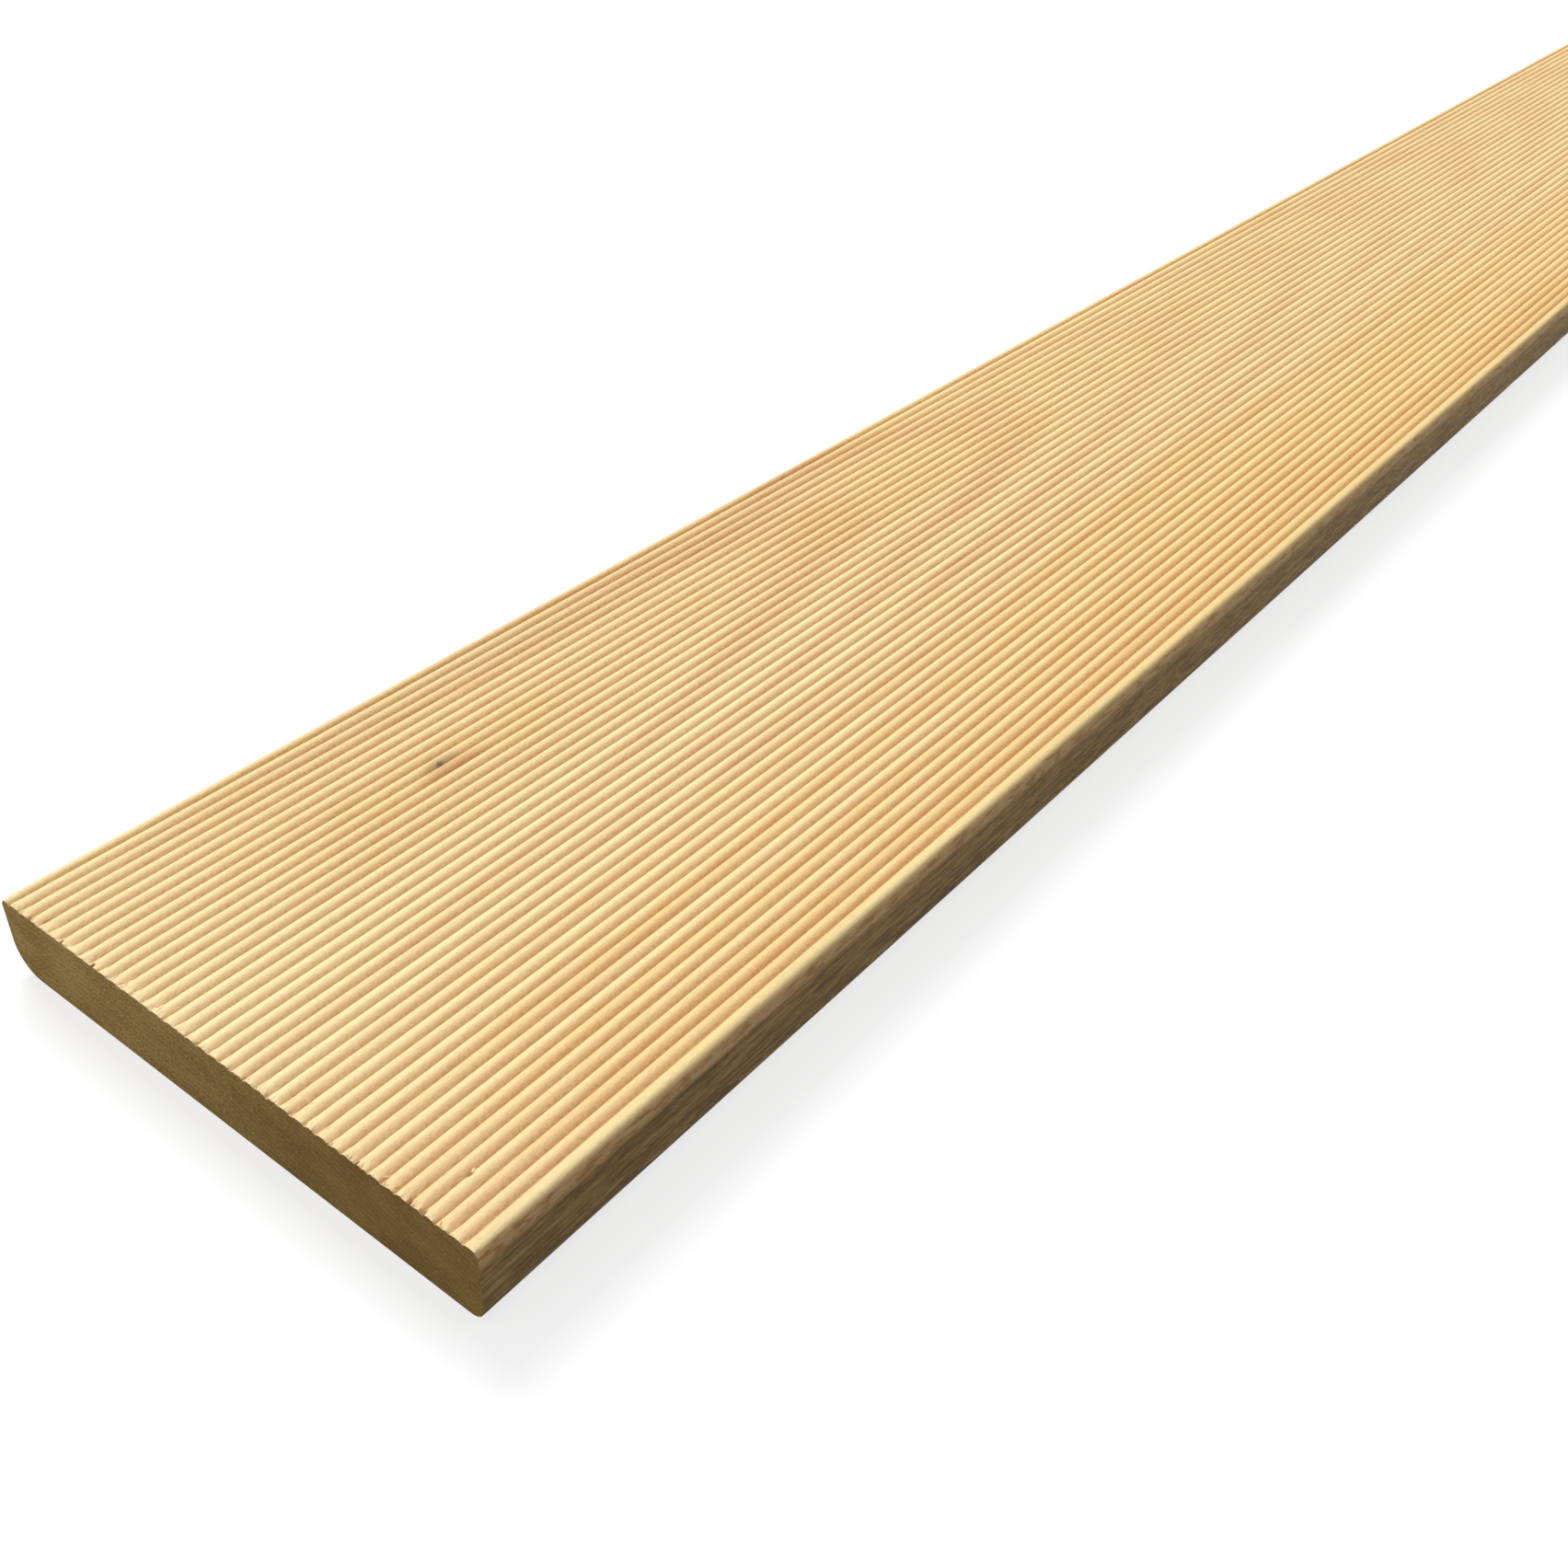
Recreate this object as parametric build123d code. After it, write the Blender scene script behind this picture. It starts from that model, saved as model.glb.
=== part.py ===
from build123d import *
import math
import os

# Ribbed wood board: one length of planed stock, lying flat with its ribs up.
# X runs across the board, Y along its grain, Z up. The origin is the middle of the underside.
# All sizes are in millimetres.

# The blank
board_length = 2000.0
board_width = 145.0
board_thickness = 20.0

# Ribs: round-topped, side by side along the whole length, with sharp valleys between them
rib_pitch = 3.55
rib_depth = 0.95

# Shoulders: outside each outermost valley a flank, a level strip and a round.
# Whole ribs fill the room between them, and what is left over widens the right strip.
shoulder_flank = 1.15
left_strip = 0.15
top_round = 1.6

# Eased bottom edges, rounder on the left
left_bottom_round = 7.5
right_bottom_round = 3.7

# What follows from those sizes
half_width = board_width / 2
valley_height = board_thickness - rib_depth
first_valley = top_round + left_strip + shoulder_flank - half_width
rib_room = half_width - top_round - shoulder_flank - first_valley
rib_count = math.floor(rib_room / rib_pitch)
last_valley = first_valley + rib_count * rib_pitch


def rib_line():
    """Draw the round ribs, from the first valley on the left to the last on the right."""
    for rib in range(rib_count):
        start = first_valley + rib * rib_pitch
        ThreePointArc(
            (start, valley_height),
            (start + rib_pitch / 2, board_thickness),
            (start + rib_pitch, valley_height),
        )


def shoulder_line(side, valley):
    """Draw one shoulder: its flank out of the valley, its level strip and its round."""
    crest = (valley + side * shoulder_flank, board_thickness)
    round_start = (side * (half_width - top_round), board_thickness)
    round_end = (side * half_width, board_thickness - top_round)
    TangentArc(crest, (valley, valley_height), tangent=(-side, 0))
    Line(crest, round_start)
    TangentArc(round_start, round_end, tangent=(side, 0))


def edge_line(side, bottom_round):
    """Draw one long edge: the upright face and the eased corner under it."""
    round_start = (side * half_width, bottom_round)
    round_end = (side * (half_width - bottom_round), 0)
    Line((side * half_width, board_thickness - top_round), round_start)
    TangentArc(round_start, round_end, tangent=(0, -1))


def board():
    """Run the section along the grain, half to each side of the origin."""
    with BuildPart() as piece:
        with BuildSketch(Plane.XZ):
            with BuildLine():
                rib_line()
                shoulder_line(-1, first_valley)
                shoulder_line(1, last_valley)
                edge_line(-1, left_bottom_round)
                edge_line(1, right_bottom_round)
                Line((left_bottom_round - half_width, 0), (half_width - right_bottom_round, 0))
            make_face()
        extrude(amount=board_length / 2, both=True)
    return piece.part


os.makedirs("parts", exist_ok=True)
export_step(board(), "parts/ribbed_board.step")
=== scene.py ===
import math

import bpy
from mathutils import Matrix, Vector


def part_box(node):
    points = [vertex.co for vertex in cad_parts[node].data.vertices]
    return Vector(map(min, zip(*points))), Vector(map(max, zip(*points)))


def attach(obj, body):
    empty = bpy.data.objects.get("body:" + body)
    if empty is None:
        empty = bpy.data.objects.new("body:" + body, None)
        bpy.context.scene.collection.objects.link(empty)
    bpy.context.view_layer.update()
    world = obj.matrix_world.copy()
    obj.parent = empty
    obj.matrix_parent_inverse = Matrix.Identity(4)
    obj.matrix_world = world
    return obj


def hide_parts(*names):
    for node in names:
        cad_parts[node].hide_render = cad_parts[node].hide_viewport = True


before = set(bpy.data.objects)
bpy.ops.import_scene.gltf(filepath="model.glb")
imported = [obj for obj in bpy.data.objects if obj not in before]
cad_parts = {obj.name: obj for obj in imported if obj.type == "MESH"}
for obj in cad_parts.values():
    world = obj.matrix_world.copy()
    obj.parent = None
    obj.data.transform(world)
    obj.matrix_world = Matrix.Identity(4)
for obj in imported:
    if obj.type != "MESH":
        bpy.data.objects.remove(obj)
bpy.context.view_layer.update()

# A ribbed deck board in pale wood. Metres; X across the board, Y along its grain, Z up.

MM = 0.001
low, high = (Vector(corner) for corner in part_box("ribbed_board"))
length = high.y - low.y
width = high.x - low.x
thickness = high.z - low.z

# The section, as it is planed
rib_pitch = 3.55 * MM
rib_depth = 0.95 * MM
shoulder_flank = 1.15 * MM
left_strip = 0.15 * MM
top_round = 1.6 * MM
left_bottom_round = 7.5 * MM
right_bottom_round = 3.7 * MM
first_valley = top_round + left_strip + shoulder_flank - width / 2
rib_count = math.floor((width / 2 - top_round - shoulder_flank - first_valley) / rib_pitch)
last_valley = first_valley + rib_count * rib_pitch

# How finely the skin is divided
steps_per_rib = 14
steps_per_round = 6
stations = 81
crease_angle = math.radians(35)
weld = 0.001 * MM

# What the saw leaves at both ends
burr_reach = 4.5 * MM
chip_depth = 0.55 * MM
splinter_length = 2.7 * MM
splinter_thickness = 0.24 * MM
splinters_per_valley = 7
splinter_zone = 2.6 * MM
splinter_rise = 0.3 * MM
worn_depth = 0.16 * MM
worn_reach = 7.0 * MM
top_zone = 3.0 * MM
seed = 7

# The two ends draw their chances and patterns apart
far_identity = 100.0
far_pattern = 0.3

# Nicks in the near top edge: place across the board, half width and reach inwards, in millimetres
nicks = (
    (-62.2, 0.60, 1.4), (-50.8, 0.50, 1.5), (-39.9, 0.40, 1.2),
    (41.0, 0.40, 1.2), (54.8, 0.55, 1.9), (58.6, 0.45, 1.6), (72.3, 0.50, 1.1),
)
nick_depth = 0.6 * MM

# A curled sliver and a raised nub on the top, near the same end
sliver_start = Vector((20.4, -994.8, 19.86)) * MM
sliver_bend = Vector((23.4, -997.2, 19.86)) * MM
sliver_end = Vector((24.9, -993.9, 19.86)) * MM
sliver_thickness = 0.2 * MM
nub = Vector((58.5, -987.5, 19.62)) * MM
nub_radius = 0.45 * MM
# the hole beside the nub is painted shade in the finish, with no pit in the shape
nub_hole = Vector((58.7, -988.5, 20.0)) * MM
nub_hole_radius = 0.85 * MM

# The growth rings: where the heart lies across the board, how far apart the bands run along it,
# and how the arches curve and the bands lean inside the wood
heart_line = -41.0 * MM
band_spacing = 109.0 * MM
band_start = -650.0 * MM
arch_curve = 11.0 * MM
band_lean = 60.0

# Marks on the top: a small knot, a smear beside it, and a dark stripe along the left ribs
knot_x, knot_y = -38.1 * MM, -906.2 * MM
smear_x, smear_y = -35.2 * MM, -904.0 * MM
stripe_x, stripe_y, stripe_middle = -60.5 * MM, -908.9 * MM, -888.0 * MM
stripe_lean = 0.104


class Field:
    """A number in a node tree. Arithmetic on it adds the Math nodes that work it out."""

    def __init__(self, tree, socket):
        self.tree = tree
        self.socket = socket

    def __add__(self, other):
        return self.tree.math("ADD", self, other)

    def __sub__(self, other):
        return self.tree.math("SUBTRACT", self, other)

    def __rsub__(self, other):
        return self.tree.math("SUBTRACT", other, self)

    def __mul__(self, other):
        return self.tree.math("MULTIPLY", self, other)

    def __truediv__(self, other):
        return self.tree.math("DIVIDE", self, other)

    def __neg__(self):
        return self.tree.math("MULTIPLY", self, -1.0)

    def __abs__(self):
        return self.tree.math("ABSOLUTE", self)

    def __gt__(self, other):
        return self.tree.math("GREATER_THAN", self, other)

    def __lt__(self, other):
        return self.tree.math("LESS_THAN", self, other)

    __radd__ = __add__
    __rmul__ = __mul__


class Tree:
    """A node tree for shapes or for a finish, with short names for its commonest nodes."""

    def __init__(self, node_tree):
        self.nodes = node_tree.nodes
        self.links = node_tree.links

    def add(self, kind, inputs=(), **settings):
        node = self.nodes.new(kind)
        for name, value in settings.items():
            setattr(node, name, value)
        for key, value in dict(inputs).items():
            self.feed(node.inputs[key], value)
        return node

    def feed(self, socket, value):
        """Link a socket to another node's output, or set it to a plain value."""
        if isinstance(value, Field):
            value = value.socket
        if isinstance(value, bpy.types.NodeSocket):
            self.links.new(value, socket)
        else:
            socket.default_value = value

    def field(self, socket):
        return Field(self, socket)

    def math(self, operation, *values):
        node = self.add("ShaderNodeMath", enumerate(values), operation=operation)
        return self.field(node.outputs[0])

    def xyz(self, x, y, z):
        return self.add("ShaderNodeCombineXYZ", {"X": x, "Y": y, "Z": z}).outputs[0]

    def split(self, vector):
        return [self.field(part) for part in self.add("ShaderNodeSeparateXYZ", {0: vector}).outputs]

    def ramp(self, value, start, end, low=0.0, high=1.0):
        """Ease from low to high while value goes from start to end."""
        inputs = {"Value": value, "From Min": start, "From Max": end, "To Min": low, "To Max": high}
        node = self.add("ShaderNodeMapRange", inputs, interpolation_type="SMOOTHSTEP")
        return self.field(node.outputs[0])

    def fade(self, value, start, end):
        """Ease from one to nothing while value goes from start to end."""
        return self.ramp(value, start, end, 1.0, 0.0)

    def near(self, value, place, full, gone):
        """One close to a place, on both sides of it, easing to nothing further off."""
        return self.fade(abs(value - place), full, gone)

    def noise(self, vector, scale, detail=2.0, roughness=0.5):
        inputs = {"Vector": vector, "Scale": scale, "Detail": detail, "Roughness": roughness}
        return self.field(self.add("ShaderNodeTexNoise", inputs).outputs[0])

    def stretch(self, vector, across, along, up):
        """Scale a pattern by its turns per metre across the board, along its grain and upwards."""
        node = self.add("ShaderNodeMapping", {"Vector": vector, "Scale": (across, along, up)})
        return node.outputs[0]

    def fibres(self, vector, across, along, up, detail, roughness):
        """Noise drawn out along the grain, by its turns per metre in each direction."""
        return self.noise(self.stretch(vector, across, along, up), 1.0, detail, roughness)

    def blend(self, share, first, second, how="MIX"):
        node = self.add("ShaderNodeMix", data_type="RGBA", blend_type=how)
        for index, value in ((0, share), (6, first), (7, second)):
            self.feed(node.inputs[index], value)
        return node.outputs[2]

    def tint(self, share, tone, colour):
        """Multiply a tone by a colour, as far as the share goes."""
        return self.blend(share, tone, colour, "MULTIPLY")

    def join(self, *shapes):
        node = self.add("GeometryNodeJoinGeometry")
        for shape in shapes:
            self.links.new(shape, node.inputs[0])
        return node.outputs[0]


def shape_tree(name, sizes):
    """A Geometry Nodes tree whose inputs are the named sizes."""
    group = bpy.data.node_groups.new(name, "GeometryNodeTree")
    for size, value in sizes.items():
        kind = "NodeSocketInt" if isinstance(value, int) else "NodeSocketFloat"
        group.interface.new_socket(name=size, in_out="INPUT", socket_type=kind)
    group.interface.new_socket(name="Shape", in_out="OUTPUT", socket_type="NodeSocketGeometry")
    tree = Tree(group)
    entry = tree.add("NodeGroupInput")
    return group, tree, {size: tree.field(entry.outputs[size]) for size in sizes}


def drop_empty_slots(mesh):
    for slot in reversed(range(len(mesh.materials))):
        if mesh.materials[slot] is None:
            mesh.materials.pop(index=slot)


def grow(name, group, sizes):
    """Run a shape tree with its sizes and keep the result as a plain mesh object."""
    seedling = bpy.data.objects.new(name + "_tree", bpy.data.meshes.new(name + "_tree"))
    bpy.context.scene.collection.objects.link(seedling)
    modifier = seedling.modifiers.new("Shape", "NODES")
    modifier.node_group = group
    for socket in group.interface.items_tree:
        if socket.in_out == "INPUT":
            modifier[socket.identifier] = sizes[socket.name]
    graph = bpy.context.evaluated_depsgraph_get()
    mesh = bpy.data.meshes.new_from_object(seedling.evaluated_get(graph), depsgraph=graph)
    bpy.data.objects.remove(seedling)
    drop_empty_slots(mesh)
    mesh.name = name
    piece = bpy.data.objects.new(name, mesh)
    bpy.context.scene.collection.objects.link(piece)
    return piece


# The section curve. A sweep turns its profile's Y downwards, so heights go in as minus Y.

def point(tree, x, height):
    return tree.xyz(x, -height, 0.0)


def line(tree, start, end):
    return tree.add("GeometryNodeCurvePrimitiveLine", {"Start": start, "End": end}).outputs[0]


def arc(tree, steps, start, middle, end):
    inputs = {"Resolution": steps + 1, "Start": start, "Middle": middle, "End": end}
    return tree.add("GeometryNodeCurveArc", inputs, mode="POINTS").outputs[0]


def rib_line(tree, size):
    """One round rib, copied side by side across the board."""
    valley = size["Thickness"] - size["Rib depth"]
    half = size["Rib pitch"] * 0.5
    rib = arc(
        tree, size["Steps per rib"],
        point(tree, -half, valley), point(tree, 0.0, size["Thickness"]), point(tree, half, valley),
    )
    inputs = {
        "Count": size["Rib count"],
        "Start Location": tree.xyz(size["First valley"] + half, 0.0, 0.0),
        "Offset": tree.xyz(size["Rib pitch"], 0.0, 0.0),
    }
    spots = tree.add("GeometryNodeMeshLine", inputs, mode="OFFSET").outputs[0]
    copies = tree.add("GeometryNodeInstanceOnPoints", {"Points": spots, "Instance": rib}).outputs[0]
    return tree.add("GeometryNodeRealizeInstances", {0: copies}).outputs[0]


def corner_line(tree, side, x, height, radius, up):
    """A quarter round in one corner of the section, on the left or right, at the top or bottom."""
    inset = radius * (1.0 - math.sqrt(0.5))
    return arc(
        tree, steps_per_round,
        point(tree, (x - radius) * side, height),
        point(tree, (x - inset) * side, height - inset * up),
        point(tree, x * side, height - radius * up),
    )


def flank_line(tree, size, side, valley):
    """The short flank that climbs from the outermost valley to the level top of the shoulder."""
    flank = size["Shoulder flank"]
    depth = size["Rib depth"]
    radius = (flank * flank + depth * depth) / (depth * 2.0)
    half_turn = tree.math("ARCSINE", flank / radius) * 0.5
    run = flank - radius * tree.math("SINE", half_turn)
    middle_height = size["Thickness"] - radius + radius * tree.math("COSINE", half_turn)
    return arc(
        tree, steps_per_round,
        point(tree, valley, size["Thickness"] - depth),
        point(tree, valley + run * side, middle_height),
        point(tree, valley + flank * side, size["Thickness"]),
    )


def side_lines(tree, size, side, valley, bottom_round):
    """One side of the section: its flank, level strip, top round, upright edge and bottom round."""
    edge = size["Width"] * 0.5
    top = size["Thickness"]
    round_top = top - size["Top round"]
    crest = point(tree, valley + size["Shoulder flank"] * side, top)
    return [
        flank_line(tree, size, side, valley),
        line(tree, crest, point(tree, (edge - size["Top round"]) * side, top)),
        corner_line(tree, side, edge, top, size["Top round"], 1.0),
        line(tree, point(tree, edge * side, round_top), point(tree, edge * side, bottom_round)),
        corner_line(tree, side, edge, 0.0, bottom_round, -1.0),
    ]


def section(tree, size):
    """The closed outline of the board's end."""
    edge = size["Width"] * 0.5
    last = size["First valley"] + size["Rib pitch"] * size["Rib count"]
    strokes = [rib_line(tree, size)]
    strokes += side_lines(tree, size, -1.0, size["First valley"], size["Left bottom round"])
    strokes += side_lines(tree, size, 1.0, last, size["Right bottom round"])
    strokes.append(line(
        tree, point(tree, size["Left bottom round"] - edge, 0.0),
        point(tree, edge - size["Right bottom round"], 0.0),
    ))
    wires = tree.add("GeometryNodeCurveToMesh", {0: tree.join(*strokes)}).outputs[0]
    loop = tree.add("GeometryNodeMergeByDistance", {"Geometry": wires, "Distance": weld}).outputs[0]
    return tree.add("GeometryNodeMeshToCurve", {0: loop}).outputs[0]


def grain_line(tree, size):
    """The line that the section is swept along, with its stations crowded towards both ends."""
    half = size["Length"] * 0.5
    straight = line(tree, tree.xyz(0.0, -half, 0.0), tree.xyz(0.0, half, 0.0))
    inputs = {"Curve": straight, "Count": size["Stations"]}
    path = tree.add("GeometryNodeResampleCurve", inputs).outputs[0]
    along = tree.field(tree.add("GeometryNodeSplineParameter").outputs["Factor"]) * 2.0 - 1.0
    inward = 1.0 - abs(along)
    spot = half * tree.math("SIGN", along) * (1.0 - tree.math("POWER", inward, 3.0))
    inputs = {"Geometry": path, "Position": tree.xyz(0.0, spot, 0.0)}
    return tree.add("GeometryNodeSetPosition", inputs).outputs[0]


board_sizes = {
    "Length": length, "Width": width, "Thickness": thickness,
    "Rib pitch": rib_pitch, "Rib depth": rib_depth, "Rib count": rib_count, "First valley": first_valley,
    "Shoulder flank": shoulder_flank, "Top round": top_round,
    "Left bottom round": left_bottom_round, "Right bottom round": right_bottom_round,
    "Steps per rib": steps_per_rib, "Stations": stations,
    "Burr reach": burr_reach, "Chip depth": chip_depth,
    "Splinter length": splinter_length, "Splinter thickness": splinter_thickness,
    "Splinters per valley": splinters_per_valley, "Seed": seed,
}


def chance(tree, least, most, identity, seed):
    """A random number that stays the same for the same identity and seed."""
    inputs = {2: least, 3: most, 7: identity, 8: seed}
    node = tree.add("FunctionNodeRandomValue", inputs, data_type="FLOAT")
    return tree.field(node.outputs[1])


def nicked(tree, x, y):
    """How deep a place lies in one of the nicks in the near top edge, from 0 to 1."""
    torn = (tree.noise(tree.xyz(x, y, 0.0), 1100.0, 1.0) - 0.5) * (1.2 * MM)
    inward = y + length / 2 + torn
    share = 0.0
    for across, half_width, reach in nicks:
        aside = abs(x - across * MM + torn * 0.3)
        beside = tree.fade(aside, 0.2 * half_width * MM, half_width * MM)
        close = tree.fade(inward, 0.3 * reach * MM, reach * MM)
        share = tree.math("MAXIMUM", share, beside * close)
    return share


def crushed(tree, size, x, y, drop):
    """How far the valleys are crushed shut near the saw cuts, most of all on the left."""
    inward = size["Length"] * 0.5 - abs(y)
    across = (x - size["First valley"]) / size["Rib pitch"]
    valley = tree.math("ROUND", across) + (y > 0.0) * far_identity
    sunk = tree.math("MINIMUM", drop / size["Rib depth"], 1.0)
    ribbed = (drop < size["Rib depth"] * 1.02) * (across > -0.4) * (across < size["Rib count"] + 0.4)
    reach = size["Burr reach"] * chance(tree, 0.35, 1.0, valley, size["Seed"])
    filled = chance(tree, 0.15, 0.6, valley, size["Seed"] + 1)
    filled = filled + tree.ramp(x, -35.0 * MM, 5.0 * MM, 0.25, 0.0)
    return ribbed * sunk * size["Rib depth"] * filled * tree.fade(inward / reach, 0.0, 1.0)


def chipped(tree, size, x, y, drop):
    """How far the top edge of the ends is broken away, in crumbs, bites and nicks."""
    inward = size["Length"] * 0.5 - abs(y)
    end = (y > 0.0) * far_pattern
    crumbs = tree.noise(tree.xyz(x, end, 0.0), 1300.0, 2.0, 0.7)
    bites = tree.noise(tree.xyz(x, end, 0.2), 420.0, 1.0)
    depth = tree.noise(tree.xyz(x, end, 0.4), 700.0, 1.0)
    chip = size["Chip depth"] * (tree.ramp(crumbs, 0.38, 0.68) * 0.6 + tree.ramp(bites, 0.48, 0.66) * 0.7)
    close = tree.fade(inward / tree.ramp(depth, 0.35, 0.65, 0.5 * MM, 2.0 * MM), 0.0, 1.0)
    shallow = tree.fade(drop, 0.2 * top_zone, top_zone)
    return chip * close * shallow + nicked(tree, x, y) * nick_depth * shallow


def rough_ends(tree, size, skin):
    """Crush the valleys shut in places near the saw cuts, and break the top edges of both ends."""
    x, y, z = tree.split(tree.add("GeometryNodeInputPosition").outputs[0])
    inward = size["Length"] * 0.5 - abs(y)
    drop = size["Thickness"] - z
    worn = worn_depth * tree.fade(inward, 1.0 * MM, worn_reach) * (drop < top_zone)
    lift = crushed(tree, size, x, y, drop) - chipped(tree, size, x, y, drop) - worn
    inputs = {"Geometry": skin, "Offset": tree.xyz(0.0, 0.0, lift)}
    return tree.add("GeometryNodeSetPosition", inputs).outputs[0]


def thread(tree, start, bend, end, steps, thickness, taper):
    """A closed three-sided thread along a bent line, thinner towards its tip."""
    inputs = {"Resolution": steps, "Start": start, "Middle": bend, "End": end}
    curve = tree.add("GeometryNodeCurveQuadraticBezier", inputs).outputs[0]
    along = tree.field(tree.add("GeometryNodeSplineParameter").outputs["Factor"])
    inputs = {"Curve": curve, "Radius": 1.0 - along * along * taper}
    thinned = tree.add("GeometryNodeSetCurveRadius", inputs).outputs[0]
    inputs = {"Resolution": 3, "Radius": thickness * 0.5}
    ring = tree.add("GeometryNodeCurvePrimitiveCircle", inputs).outputs[0]
    inputs = {
        "Curve": thinned, "Profile Curve": ring,
        "Scale": tree.field(tree.add("GeometryNodeInputRadius").outputs[0]), "Fill Caps": True,
    }
    return tree.add("GeometryNodeCurveToMesh", inputs).outputs[0]


def splinter_kit(tree, size):
    """Three splinters, bent more or less to either side, for the others to be copied from."""
    kit = tree.add("GeometryNodeGeometryToInstance")
    reach = size["Splinter length"]
    for bend in (0.04, -0.1, 0.14):
        blade = thread(
            tree, tree.xyz(0.0, 0.0, 0.0), tree.xyz(reach * bend, reach * 0.55, 0.0),
            tree.xyz(0.0, reach, 0.0), 4, size["Splinter thickness"], 0.85,
        )
        tree.links.new(blade, kit.inputs[0])
    return kit.outputs[0]


def splinters(tree, size):
    """Torn splinters that lie on the flanks of the ribs, close to both saw cuts."""
    per_end = size["Splinters per valley"]
    valleys = size["Rib count"] + 1.0
    inputs = {"Count": valleys * per_end * 2.0}
    spots = tree.add("GeometryNodeMeshLine", inputs, mode="OFFSET").outputs[0]
    index = tree.field(tree.add("GeometryNodeInputIndex").outputs[0])
    far = tree.math("MODULO", index, 2.0)
    side = far * 2.0 - 1.0
    valley = tree.math("FLOOR", index / (per_end * 2.0))
    pick = [chance(tree, 0.0, 1.0, index, size["Seed"] + 10 + turn) for turn in range(8)]
    torn = chance(tree, 0.0, 1.0, valley + far * far_identity, size["Seed"] + 5)
    valley_x = size["First valley"] + valley * size["Rib pitch"]
    plenty = tree.math("MAXIMUM", torn * torn, tree.fade(valley_x, -45.0 * MM, 10.0 * MM) * 0.85)

    off = (pick[0] - 0.38) * 0.62
    up = abs(off) * 2.0
    x = valley_x + off * size["Rib pitch"]
    y = side * (size["Length"] * 0.5 - 0.1 * MM - pick[1] * pick[1] * splinter_zone)
    sunk = size["Rib depth"] * (1.0 - up) * (1.0 - up)
    z = size["Thickness"] - 0.13 * MM - sunk * 0.8
    inputs = {"Geometry": spots, "Position": tree.xyz(x, y, z)}
    placed = tree.add("GeometryNodeSetPosition", inputs).outputs[0]

    grown = (0.2 + 0.8 * pick[4] * pick[4]) * (0.45 + 0.55 * plenty)
    rise = tree.math("MINIMUM", pick[6] * splinter_rise, sunk * 0.8)
    tilt = tree.math("ARCSINE", rise / (size["Splinter length"] * grown))
    turn = (pick[3] - 0.5) * 1.3 + far * math.pi
    inputs = {
        "Points": placed, "Selection": pick[7] < plenty * 0.75 + 0.05,
        "Instance": splinter_kit(tree, size), "Pick Instance": True,
        "Instance Index": tree.math("FLOOR", pick[5] * 2.999),
        "Rotation": tree.xyz(tilt, 0.0, turn),
        "Scale": tree.xyz(0.7 + pick[2] * 0.9, grown, 0.6),
    }
    blades = tree.add("GeometryNodeInstanceOnPoints", inputs).outputs[0]
    return tree.add("GeometryNodeRealizeInstances", {0: blades}).outputs[0]


def nub_shape(tree):
    ball = tree.add("GeometryNodeMeshIcoSphere", {"Radius": nub_radius, "Subdivisions": 2}).outputs[0]
    inputs = {"Geometry": ball, "Translation": nub, "Scale": (0.9, 1.3, 0.6), "Rotation": (0.0, 0.0, 0.5)}
    return tree.add("GeometryNodeTransform", inputs).outputs[0]


def loose_bits(tree, size, torn):
    """The splinters, the curled sliver and the nub, kept under the crests and inside the saw cuts."""
    sliver = thread(tree, sliver_start, sliver_bend, sliver_end, 10, sliver_thickness, 0.5)
    bits = tree.join(splinters(tree, size), sliver, nub_shape(tree))
    x, y, z = tree.split(tree.add("GeometryNodeInputPosition").outputs[0])
    top = size["Thickness"] - 0.01 * MM
    end = size["Length"] * 0.5 - 0.02 * MM
    held_y = tree.math("MAXIMUM", tree.math("MINIMUM", y, end), -end)
    held = tree.xyz(x, held_y, tree.math("MINIMUM", z, top))
    kept = tree.add("GeometryNodeSetPosition", {"Geometry": bits, "Position": held}).outputs[0]
    return tree.add("GeometryNodeSetMaterial", {"Geometry": kept, "Material": torn}).outputs[0]


def swept_skin(tree, size):
    """The section swept along the grain, closed at both ends, with its faces outwards."""
    inputs = {"Curve": grain_line(tree, size), "Profile Curve": section(tree, size), "Fill Caps": True}
    sweep = tree.add("GeometryNodeCurveToMesh", inputs).outputs[0]
    return tree.add("GeometryNodeFlipFaces", {"Mesh": sweep}).outputs[0]


def creased(tree, skin):
    """Shade a skin smoothly, but keep its sharp folds."""
    smooth = tree.add("GeometryNodeSetShadeSmooth", {"Geometry": skin}, domain="FACE").outputs[0]
    bend = tree.field(tree.add("GeometryNodeInputMeshEdgeAngle").outputs[0])
    inputs = {"Geometry": smooth, "Selection": bend > crease_angle, "Shade Smooth": False}
    return tree.add("GeometryNodeSetShadeSmooth", inputs, domain="EDGE").outputs[0]


def board_tree(planed, sawn, torn):
    """The whole board: its skin with rough ends, its finishes and its loose bits."""
    group, tree, size = shape_tree("ribbed board", board_sizes)
    skin = creased(tree, rough_ends(tree, size, swept_skin(tree, size)))
    facing = tree.split(tree.add("GeometryNodeInputNormal").outputs[0])[1]
    faces = tree.add("GeometryNodeSetMaterial", {"Geometry": skin, "Material": planed}).outputs[0]
    inputs = {"Geometry": faces, "Selection": abs(facing) > 0.9, "Material": sawn}
    ends = tree.add("GeometryNodeSetMaterial", inputs).outputs[0]
    both = tree.join(ends, loose_bits(tree, size, torn))
    whole = tree.add("GeometryNodeRealizeInstances", {0: both}).outputs[0]
    exit_node = tree.add("NodeGroupOutput")
    tree.links.new(whole, exit_node.inputs["Shape"])
    return group


# Finishes

dull_gloss = 0.25


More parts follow.
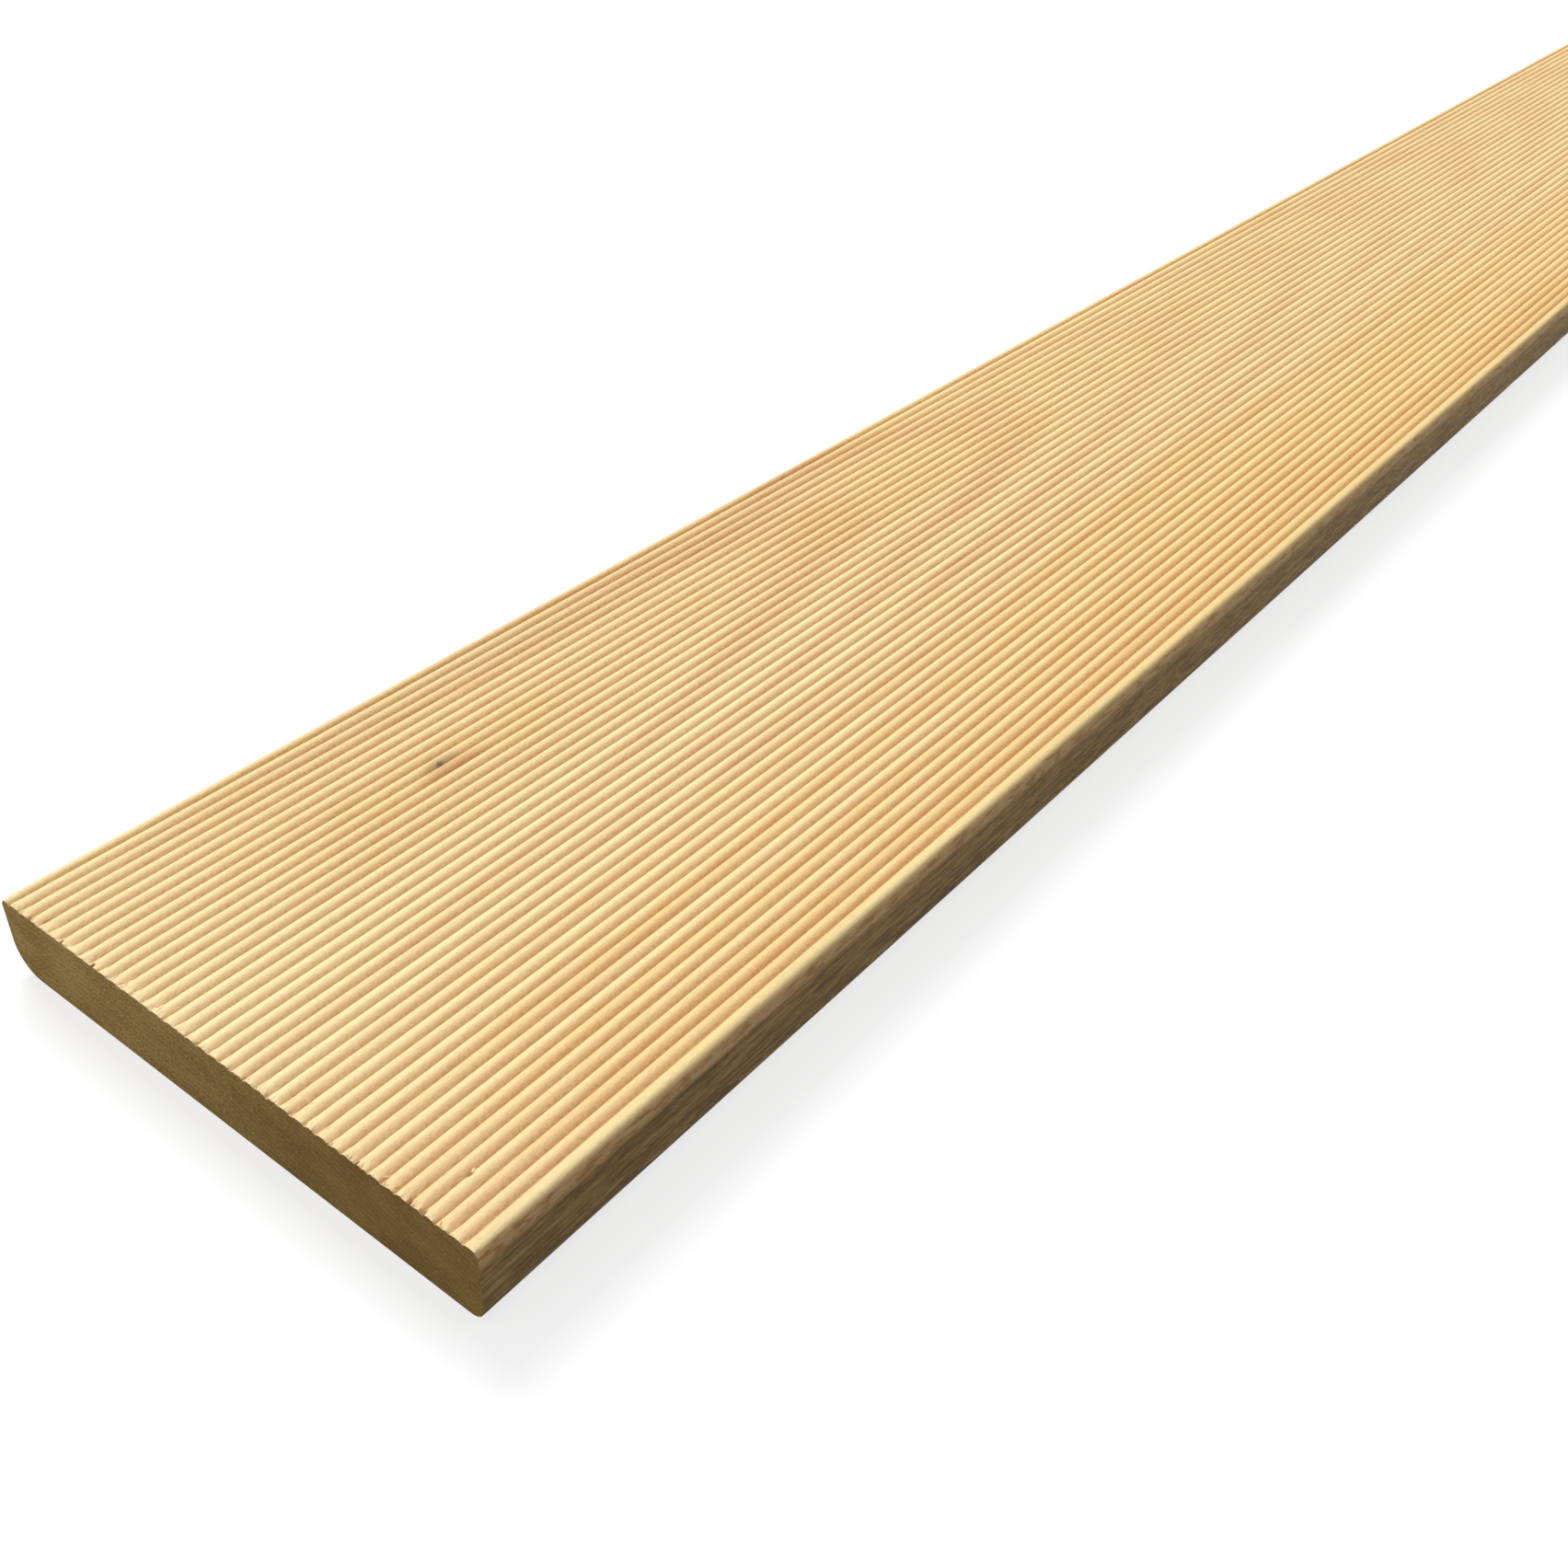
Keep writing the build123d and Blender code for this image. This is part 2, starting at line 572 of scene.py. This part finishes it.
def finish_tree(name):
    """A new material, its empty node tree, and the socket that tells a place on the piece."""
    material = bpy.data.materials.new(name)
    material.use_nodes = True
    material.node_tree.nodes.clear()
    tree = Tree(material.node_tree)
    spot = tree.add("ShaderNodeTexCoord").outputs["Object"]
    return material, tree, spot


def close_finish(tree, colour, roughness, height, depth):
    """Bring colour, gloss and relief together in one surface."""
    relief = tree.add("ShaderNodeBump", {"Height": height, "Strength": 1.0, "Distance": depth})
    surface = tree.add("ShaderNodeBsdfPrincipled", {
        "Base Color": colour, "Roughness": roughness, "Normal": relief.outputs[0],
    })
    surface.inputs["Specular IOR Level"].default_value = dull_gloss
    out = tree.add("ShaderNodeOutputMaterial")
    tree.links.new(surface.outputs[0], out.inputs["Surface"])


def rgb(red, green, blue):
    return (red, green, blue, 1.0)


def grain(tree, spot):
    """The growth rings, as dark bands and as fine lines, both from 0 to 1.

    On the top the bands make long arches that open towards the near end.
    """
    x, y, z = tree.split(spot)
    off_heart = x - heart_line
    under = tree.math("MAXIMUM", thickness - rib_depth - z, 0.0)
    ring = y + off_heart * off_heart / arch_curve - under * band_lean
    sway = tree.fibres(spot, 26.0, 4.5, 26.0, 2.0, 0.5) - 0.5
    ring = ring + sway * (90.0 * MM)
    late = tree.math("COSINE", (ring - band_start) * (math.tau / band_spacing)) * 0.5 + 0.5
    late = tree.ramp(late, 0.3, 1.0) * tree.ramp(ring + under * 1000.0, -830.0 * MM, -770.0 * MM)
    fine = tree.noise(tree.xyz(ring / (9.0 * MM), 0.0, 0.0), 1.0, 2.0, 0.6)
    return late, fine


class Place:
    """A place on the planed faces, in the terms that their finish is told in."""

    def __init__(self, tree, spot):
        self.spot = spot
        self.x, self.y, self.z = tree.split(spot)
        self.drop = thickness - self.z
        self.below = self.drop / rib_depth
        self.inward = length / 2 - abs(self.y)
        self.on_ribs = self.below < 1.1
        self.ribbed = (self.x > first_valley) * (self.x < last_valley) * self.on_ribs
        across = (self.x - first_valley) / rib_pitch
        self.rib = tree.math("FLOOR", across)
        self.phase = across - self.rib
        self.bands, self.rings = grain(tree, spot)
        self.fuzz = tree.fibres(spot, 1700.0, 1000.0, 1700.0, 3.0, 0.75)
        self.threads = tree.fibres(spot, 1300.0, 60.0, 1300.0, 2.0, 0.6)
        self.hairs = tree.fibres(spot, 1000.0, 75.0, 1000.0, 3.0, 0.75)
        self.fluff = tree.fibres(spot, 650.0, 160.0, 650.0, 3.0, 0.7)
        self.streak = tree.fibres(spot, 700.0, 10.0, 1100.0, 3.0, 0.65)
        # painted shade on the right-facing rib flanks, away from the key lamp
        self.flank_shade = self.painted_flank_shade(tree)

    def painted_flank_shade(self, tree):
        """How far a place lies in the painted shade of the right flank of a rib, or of the left shoulder's
        flank, weaker further along the board.
        """
        # painted shade on the right flank of each rib, fading further along the board
        flank_shade = tree.ramp(self.phase + (self.fuzz - 0.5) * 0.5, 0.48, 0.92) * self.ribbed
        flank_shade = flank_shade * tree.ramp(self.y, -800.0 * MM, -500.0 * MM, 1.0, 0.62)
        # painted shade on the left shoulder's right-facing flank
        flank = tree.ramp(self.x - first_valley, -2.0 * MM, -0.4 * MM, 0.0, 0.7)
        return flank_shade + flank * (self.x < first_valley)


def bare_ribs(tree, at):
    """Cream ribs, with tan on their right flanks and deep in the valleys, both painted shade."""
    cream = rgb(0.955, 0.81, 0.425)
    tan = rgb(0.98, 0.695, 0.365)
    # painted shade: tan deep in the valleys
    deep = tree.ramp(at.below, 0.15, 0.95) * at.ribbed
    return tree.blend(tree.math("MAXIMUM", at.flank_shade, deep * 0.45), cream, tan)


def figured(tree, at, tone):
    """Darken a tone along the growth rings, in broad arches and in fine lines."""
    patch = tree.fibres(at.spot, 24.0, 6.0, 24.0, 2.0, 0.5)
    arch = at.bands * tree.ramp(patch, 0.3, 0.6, 0.4, 1.0) * tree.ramp(at.x, 0.0, 45.0 * MM, 1.0, 0.5)
    arch = arch * tree.ramp(at.y, -690.0 * MM, -620.0 * MM, 1.0, 0.6)
    tone = tree.tint(arch, tone, rgb(0.95, 0.865, 0.84))
    return tree.tint(tree.ramp(at.rings, 0.35, 0.7, 0.0, 0.6), tone, rgb(0.975, 0.93, 0.89))


def varied(tree, at, tone):
    """Let the tone wander over the board: from left to right, along it, and from rib to rib."""
    flame = tree.fibres(at.spot, 150.0, 3.5, 150.0, 2.0, 0.5)
    own = tree.noise(tree.xyz(at.rib * 3.7, at.y * 9.0, 0.0), 1.0, 1.0)
    right_half = tree.ramp(at.x, 8.0 * MM, 42.0 * MM, 0.0, 0.8)
    flames = tree.ramp(flame, 0.42, 0.68) * tree.ramp(at.x, -15.0 * MM, 30.0 * MM, 0.25, 1.0)
    dull_ribs = tree.ramp(own, 0.5, 0.75, 0.0, 0.6)
    left_middle = tree.fade(at.x, -38.0 * MM, -6.0 * MM) * tree.ramp(at.y, -760.0 * MM, -600.0 * MM, 1.0, 0.3)
    knot_field = tree.near(at.x, -30.0 * MM, 6.0 * MM, 24.0 * MM)
    knot_field = knot_field * tree.near(at.y, -905.0 * MM, 20.0 * MM, 70.0 * MM)
    last_ribs = tree.ramp(at.x, 46.0 * MM, 64.0 * MM) * tree.fade(at.x, 69.3 * MM, 70.0 * MM)
    for share, colour in (
        (right_half, rgb(0.99, 0.93, 0.86)),
        (flames, rgb(0.98, 0.92, 0.86)),
        (dull_ribs, rgb(0.93, 0.84, 0.80)),
        (left_middle, rgb(0.98, 0.935, 0.875)),
        (knot_field, rgb(0.965, 0.93, 0.88)),
        (last_ribs, rgb(0.97, 0.92, 0.89)),
    ):
        tone = tree.tint(share, tone, colour)
    near_end = tree.ramp(at.y, -995.0 * MM, -940.0 * MM, 0.16, 0.0)
    tone = tree.blend(near_end, tone, rgb(0.98, 0.84, 0.56))
    left_edge = tree.fade(at.x, -64.0 * MM, -50.0 * MM) * tree.near(at.y, -830.0 * MM, 70.0 * MM, 160.0 * MM)
    tone = tree.tint(left_edge, tone, rgb(0.94, 0.91, 0.90))
    return tree.tint(tree.ramp(at.y, -900.0 * MM, -600.0 * MM), tone, rgb(0.99, 0.93, 0.86))


def fuzzed(tree, at, tone):
    """Short raised fibres, dark and light, and fine threads along the grain."""
    # dark fibres, made stronger within the painted shade of the right flanks
    shaded = tree.fade(at.fuzz, 0.30, 0.58) * (at.flank_shade * 0.5 + 0.5)
    tone = tree.tint(shaded, tone, rgb(0.86, 0.77, 0.68))
    tone = tree.blend(tree.ramp(at.fuzz, 0.50, 0.72, 0.0, 0.25), tone, rgb(0.97, 0.84, 0.51))
    return tree.tint(tree.ramp(at.threads, 0.55, 0.8, 0.0, 0.5), tone, rgb(0.92, 0.84, 0.76))


def lined(tree, at, tone):
    """Paint shade grey at the foot of each left flank and dark in the valleys, short of the frayed ends."""
    whole = tree.ramp(at.inward, 0.5 * MM, 3.5 * MM)
    # painted shade in the fold at the foot of each left flank
    foot = tree.fade(at.phase - (at.x > last_valley) * 0.07, 0.04, 0.17)
    foot = foot * (at.x > first_valley) * (at.x < last_valley + 1.1 * MM) * at.on_ribs
    tone = tree.tint(foot * whole, tone, rgb(0.68, 0.70, 0.69))
    # painted shade deep in the valleys
    valley = tree.ramp(at.below, 0.78, 0.98) * at.ribbed * whole
    return tree.blend(valley * 0.35, tone, rgb(0.44, 0.33, 0.20))


def knot(tree, at):
    """How near a place is to the knot: its heart and the stained wood round it, each from 0 to 1."""
    wobble = (tree.noise(at.spot, 700.0, 2.0) - 0.5) * (1.4 * MM)
    across = at.x - knot_x + wobble
    along = at.y - knot_y
    heart = tree.math("SQRT", across * across * 1.5 + along * along * 0.5)
    along = along - 0.3 * MM
    stain = tree.math("SQRT", across * across + along * along * 0.12)
    return tree.fade(heart, 0.1 * MM, 1.15 * MM), tree.fade(stain, 0.3 * MM, 2.9 * MM)


def marked(tree, at, tone):
    """The dark stripe, the smear and the knot."""
    stripe = tree.near(at.x - (at.y - stripe_y) * stripe_lean, stripe_x, 0.2 * MM, 1.1 * MM)
    stripe = stripe * tree.near(at.y, stripe_middle, 12.0 * MM, 24.0 * MM)
    tone = tree.tint(stripe * 0.6, tone, rgb(0.90, 0.72, 0.62))
    smear = tree.near(at.x, smear_x, 0.8 * MM, 2.2 * MM) * tree.near(at.y, smear_y, 3.0 * MM, 14.0 * MM)
    tone = tree.tint(smear, tone, rgb(0.86, 0.72, 0.65))
    heart, stain = knot(tree, at)
    tone = tree.blend(stain * 0.6, tone, rgb(0.45, 0.29, 0.165))
    return tree.blend(heart * 0.85, tone, rgb(0.20, 0.13, 0.065))


def torn_ends(tree, at, tone):
    """Pale frayed wood at the saw cuts, with painted shade: brown in the mouths of the valleys, dark in the
    nicks and in the nub's hole.
    """
    frayed = tree.fade(at.inward + (at.fuzz - 0.5) * (3.0 * MM), 0.2 * MM, 1.7 * MM)
    tone = tree.blend(frayed * 0.5, tone, rgb(0.96, 0.76, 0.42))
    # painted shade, brown, in the mouths of the valleys near the saw cuts
    mouth = tree.ramp(at.below, 0.35, 0.9) * at.ribbed * tree.fade(at.inward, 0.5 * MM, 2.4 * MM)
    tone = tree.blend(mouth * 0.65, tone, rgb(0.60, 0.36, 0.17))
    across = at.x - nub_hole.x
    along = at.y - nub_hole.y
    hole = tree.math("SQRT", across * across * 1.6 + along * along * 0.6)
    pit = tree.fade(hole, 0.35 * MM, nub_hole_radius)
    # painted shade in the nicks and in the hole beside the nub
    dark = tree.math("MAXIMUM", nicked(tree, at.x, at.y), pit) * (at.drop < top_zone)
    return tree.blend(dark * 0.9, tone, rgb(0.26, 0.11, 0.045))


def faded_band(tree, at):
    """The fluffy band where the pale top turns into the brown edge, partly painted shade."""
    band = tree.blend(tree.ramp(at.streak, 0.4, 0.65), rgb(1.0, 0.66, 0.30), rgb(0.88, 0.54, 0.235))
    band = tree.tint(tree.fade(at.fluff, 0.38, 0.52), band, rgb(0.66, 0.54, 0.44))
    return tree.blend(tree.ramp(at.fluff, 0.48, 0.64, 0.0, 0.8), band, rgb(1.0, 0.70, 0.37))


def shaded_brown_edge(tree, at):
    """Brown wood with dark and light hairs, darker towards the bottom: the dark brown of the long edges is
    painted shade.
    """
    edge = tree.blend(tree.ramp(at.streak, 0.35, 0.65), rgb(0.48, 0.30, 0.085), rgb(0.29, 0.172, 0.045))
    edge = tree.tint(tree.fade(at.z, 2.0 * MM, 12.0 * MM), edge, rgb(0.72, 0.68, 0.58))
    edge = tree.tint(tree.fade(at.hairs, 0.38, 0.50), edge, rgb(0.42, 0.39, 0.34))
    edge = tree.blend(tree.ramp(at.hairs, 0.50, 0.62), edge, rgb(0.66, 0.43, 0.16))
    return tree.blend(tree.ramp(at.fluff, 0.54, 0.66, 0.0, 0.5), edge, rgb(0.74, 0.49, 0.20))


def edged(tree, at, tone):
    """Turn the tone over both shoulders, by a ragged line, into the brown long edges, whose dark brown is
    painted shade.
    """
    flat = tree.fibres(at.spot, 60.0, 22.0, 60.0, 3.0, 0.6)
    crack = tree.fibres(at.spot, 500.0, 7.0, 900.0, 1.0, 0.5)
    turned = tree.ramp(width / 2 - at.x, 0.2 * MM, 1.2 * MM, 1.0 * MM, 0.0)
    uneven = (flat - 0.5) * 3.0 + (at.hairs - 0.5) * 3.0 + (at.fluff - 0.5) * 5.0
    ragged = at.drop + turned + uneven * MM - (at.x < 0.0) * (1.5 * MM)
    shoulders = (at.x > last_valley) + (at.x < first_valley)
    # painted shade: the long edges turn dark brown below the shoulders
    brown = tree.ramp(ragged, 5.0 * MM, 6.3 * MM)
    tone = tree.blend(tree.ramp(ragged, 1.0 * MM, 2.1 * MM) * shoulders, tone, faded_band(tree, at))
    tone = tree.blend(brown, tone, shaded_brown_edge(tree, at))
    split = tree.ramp(crack, 0.64, 0.72) * tree.ramp(at.drop, 1.0 * MM, 2.5 * MM)
    tone = tree.blend(split * 0.55, tone, rgb(0.16, 0.09, 0.035))
    return tree.blend(tree.ramp(at.streak, 0.30, 0.22) * 0.5 * brown, tone, rgb(0.66, 0.48, 0.25))


def soled(tree, at, tone):
    """The clean underside, with the growth rings running along it."""
    beneath = tree.fade(at.z, 0.05 * MM, 0.4 * MM)
    sole = tree.blend(tree.ramp(at.streak, 0.35, 0.7), rgb(0.85, 0.64, 0.34), rgb(0.76, 0.53, 0.27))
    return tree.blend(beneath, tone, tree.tint(at.bands, sole, rgb(0.90, 0.80, 0.74)))


def planed_wood():
    material, tree, spot = finish_tree("planed_wood")
    at = Place(tree, spot)
    tone = bare_ribs(tree, at)
    for dress in (figured, varied, fuzzed, lined, marked, torn_ends, edged, soled):
        tone = dress(tree, at, tone)
    close_finish(tree, tone, 0.62, at.fuzz * 0.7 + at.threads * 0.3, 0.13 * MM)
    return material


def sawn_end():
    """Cut fibre ends: cloudy brown, darker to the right, with the growth rings and a fine grit."""
    material, tree, spot = finish_tree("sawn_end")
    x, y, z = tree.split(spot)
    bands, fine = grain(tree, spot)
    slant = tree.xyz(x * 0.8, y, x * 0.6 - z)
    grit = tree.fibres(slant, 1700.0, 300.0, 1700.0, 4.0, 0.8)
    fleck = tree.fibres(slant, 700.0, 300.0, 1100.0, 2.0, 0.7)
    pore = tree.fibres(slant, 900.0, 300.0, 900.0, 1.0, 0.5)
    cloud = tree.fibres(spot, 70.0, 45.0, 130.0, 5.0, 0.65)
    tone = tree.blend(tree.ramp(cloud, 0.35, 0.68), rgb(0.88, 0.58, 0.185), rgb(0.60, 0.36, 0.09))
    tone = tree.tint(tree.ramp(x, -60.0 * MM, 45.0 * MM), tone, rgb(0.63, 0.59, 0.52))
    tone = tree.tint(bands * 0.7, tone, rgb(0.78, 0.72, 0.66))
    tone = tree.tint(tree.ramp(fine, 0.4, 0.65, 0.0, 0.6), tone, rgb(0.75, 0.70, 0.62))
    pale = tree.ramp(x, -30.0 * MM, 40.0 * MM, 1.0, 0.35)
    tone = tree.blend(tree.ramp(fleck, 0.54, 0.7, 0.0, 0.5) * pale, tone, rgb(1.0, 0.80, 0.38))
    tone = tree.blend(tree.ramp(grit, 0.50, 0.66, 0.0, 0.75) * pale, tone, rgb(1.0, 0.80, 0.38))
    tone = tree.blend(tree.ramp(grit, 0.34, 0.48, 0.8, 0.0) * pale, tone, rgb(0.20, 0.12, 0.045))
    tone = tree.blend(tree.ramp(pore, 0.20, 0.27, 0.4, 0.0), tone, rgb(0.14, 0.09, 0.035))
    close_finish(tree, tone, 0.8, grit, 0.35 * MM)
    return material


def torn_fibre():
    """Clean pale fibres of the splinters, the sliver and the nub."""
    material, tree, spot = finish_tree("torn_fibre")
    mottle = tree.noise(spot, 900.0, 2.0)
    tone = tree.blend(tree.ramp(mottle, 0.35, 0.7), rgb(0.96, 0.82, 0.48), rgb(0.88, 0.60, 0.32))
    close_finish(tree, tone, 0.7, mottle, 0.02 * MM)
    return material


# The board

board = grow("ribbed_board_wood", board_tree(planed_wood(), sawn_end(), torn_fibre()), board_sizes)
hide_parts("ribbed_board")
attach(board, "root")


# Floor and light

def is_seen(tree):
    """One for rays from the camera, straight or by way of a mirror or glass."""
    path = tree.add("ShaderNodeLightPath")
    seen = ("Is Camera Ray", "Is Glossy Ray", "Is Transmission Ray")
    rays = [tree.field(path.outputs[name]) for name in seen]
    return tree.math("MINIMUM", rays[0] + rays[1] + rays[2], 1.0)


def floor_finish():
    """White to the eye with the board's shadow on it, and a quiet grey to the light that it bounces."""
    material, tree, _ = finish_tree("floor_white")
    quiet = tree.add("ShaderNodeBsdfDiffuse", {"Color": rgb(0.15, 0.15, 0.15)}).outputs[0]
    shaded = tree.add("ShaderNodeBsdfDiffuse", {"Color": rgb(0.3, 0.3, 0.3)}).outputs[0]
    lift = tree.add("ShaderNodeEmission", {"Color": rgb(1.0, 1.0, 1.0), "Strength": 0.74}).outputs[0]
    seen = tree.add("ShaderNodeAddShader", {0: shaded, 1: lift}).outputs[0]
    mixed = tree.add("ShaderNodeMixShader", {0: is_seen(tree), 1: quiet, 2: seen}).outputs[0]
    out = tree.add("ShaderNodeOutputMaterial")
    tree.links.new(mixed, out.inputs["Surface"])
    return material


def lay_floor(reach):
    mesh = bpy.data.meshes.new("floor")
    corners = [(-reach, -reach, 0), (reach, -reach, 0), (reach, reach, 0), (-reach, reach, 0)]
    mesh.from_pydata(corners, [], [(0, 1, 2, 3)])
    mesh.materials.append(floor_finish())
    floor = bpy.data.objects.new("floor", mesh)
    bpy.context.scene.collection.objects.link(floor)


def light_room(strength):
    """An even white room: dim to the board, plain white to the eye."""
    world = bpy.data.worlds.new("studio")
    world.use_nodes = True
    world.node_tree.nodes.clear()
    tree = Tree(world.node_tree)
    room = tree.add("ShaderNodeBackground", {"Color": rgb(1.0, 1.0, 1.0), "Strength": strength}).outputs[0]
    white = tree.add("ShaderNodeBackground", {"Color": rgb(1.0, 1.0, 1.0), "Strength": 1.0}).outputs[0]
    mixed = tree.add("ShaderNodeMixShader", {0: is_seen(tree), 1: room, 2: white}).outputs[0]
    out = tree.add("ShaderNodeOutputWorld")
    tree.links.new(mixed, out.inputs["Surface"])
    bpy.context.scene.world = world


def hang_lamp(name, towards, strength, softness):
    """A far, soft lamp that shines from the given direction. Softness is its width in degrees."""
    lamp = bpy.data.lights.new(name, "SUN")
    lamp.energy = strength
    lamp.angle = math.radians(softness)
    holder = bpy.data.objects.new(name, lamp)
    holder.rotation_euler = Vector(towards).to_track_quat("Z", "Y").to_euler()
    holder.location = Vector(towards) * 3.0
    bpy.context.scene.collection.objects.link(holder)


lay_floor(12.0)
light_room(0.12)
hang_lamp("key_lamp", (-0.62, 0.30, 0.72), 2.35, 24.0)
hang_lamp("ceiling_lamp", (-0.05, 0.05, 1.0), 1.1, 110.0)
hang_lamp("front_lamp", (-0.3, -1.0, 0.25), 0.3, 40.0)


# Camera

camera_place = Vector((218.82, -1117.02, 259.85)) * MM
camera_aim = Vector((29.90, -858.84, 20.0)) * MM
camera_roll = math.radians(2.734)
camera_lens = 38.418


def stand_camera():
    lens = bpy.data.cameras.new("camera")
    lens.lens = camera_lens
    lens.sensor_width = 36.0
    lens.clip_start = 0.01
    camera = bpy.data.objects.new("camera", lens)
    aim = (camera_place - camera_aim).to_track_quat("Z", "Y").to_matrix().to_4x4()
    camera.matrix_world = Matrix.Translation(camera_place) @ aim @ Matrix.Rotation(camera_roll, 4, "Z")
    bpy.context.scene.collection.objects.link(camera)
    bpy.context.scene.camera = camera


stand_camera()
bpy.context.scene.view_settings.view_transform = "Standard"
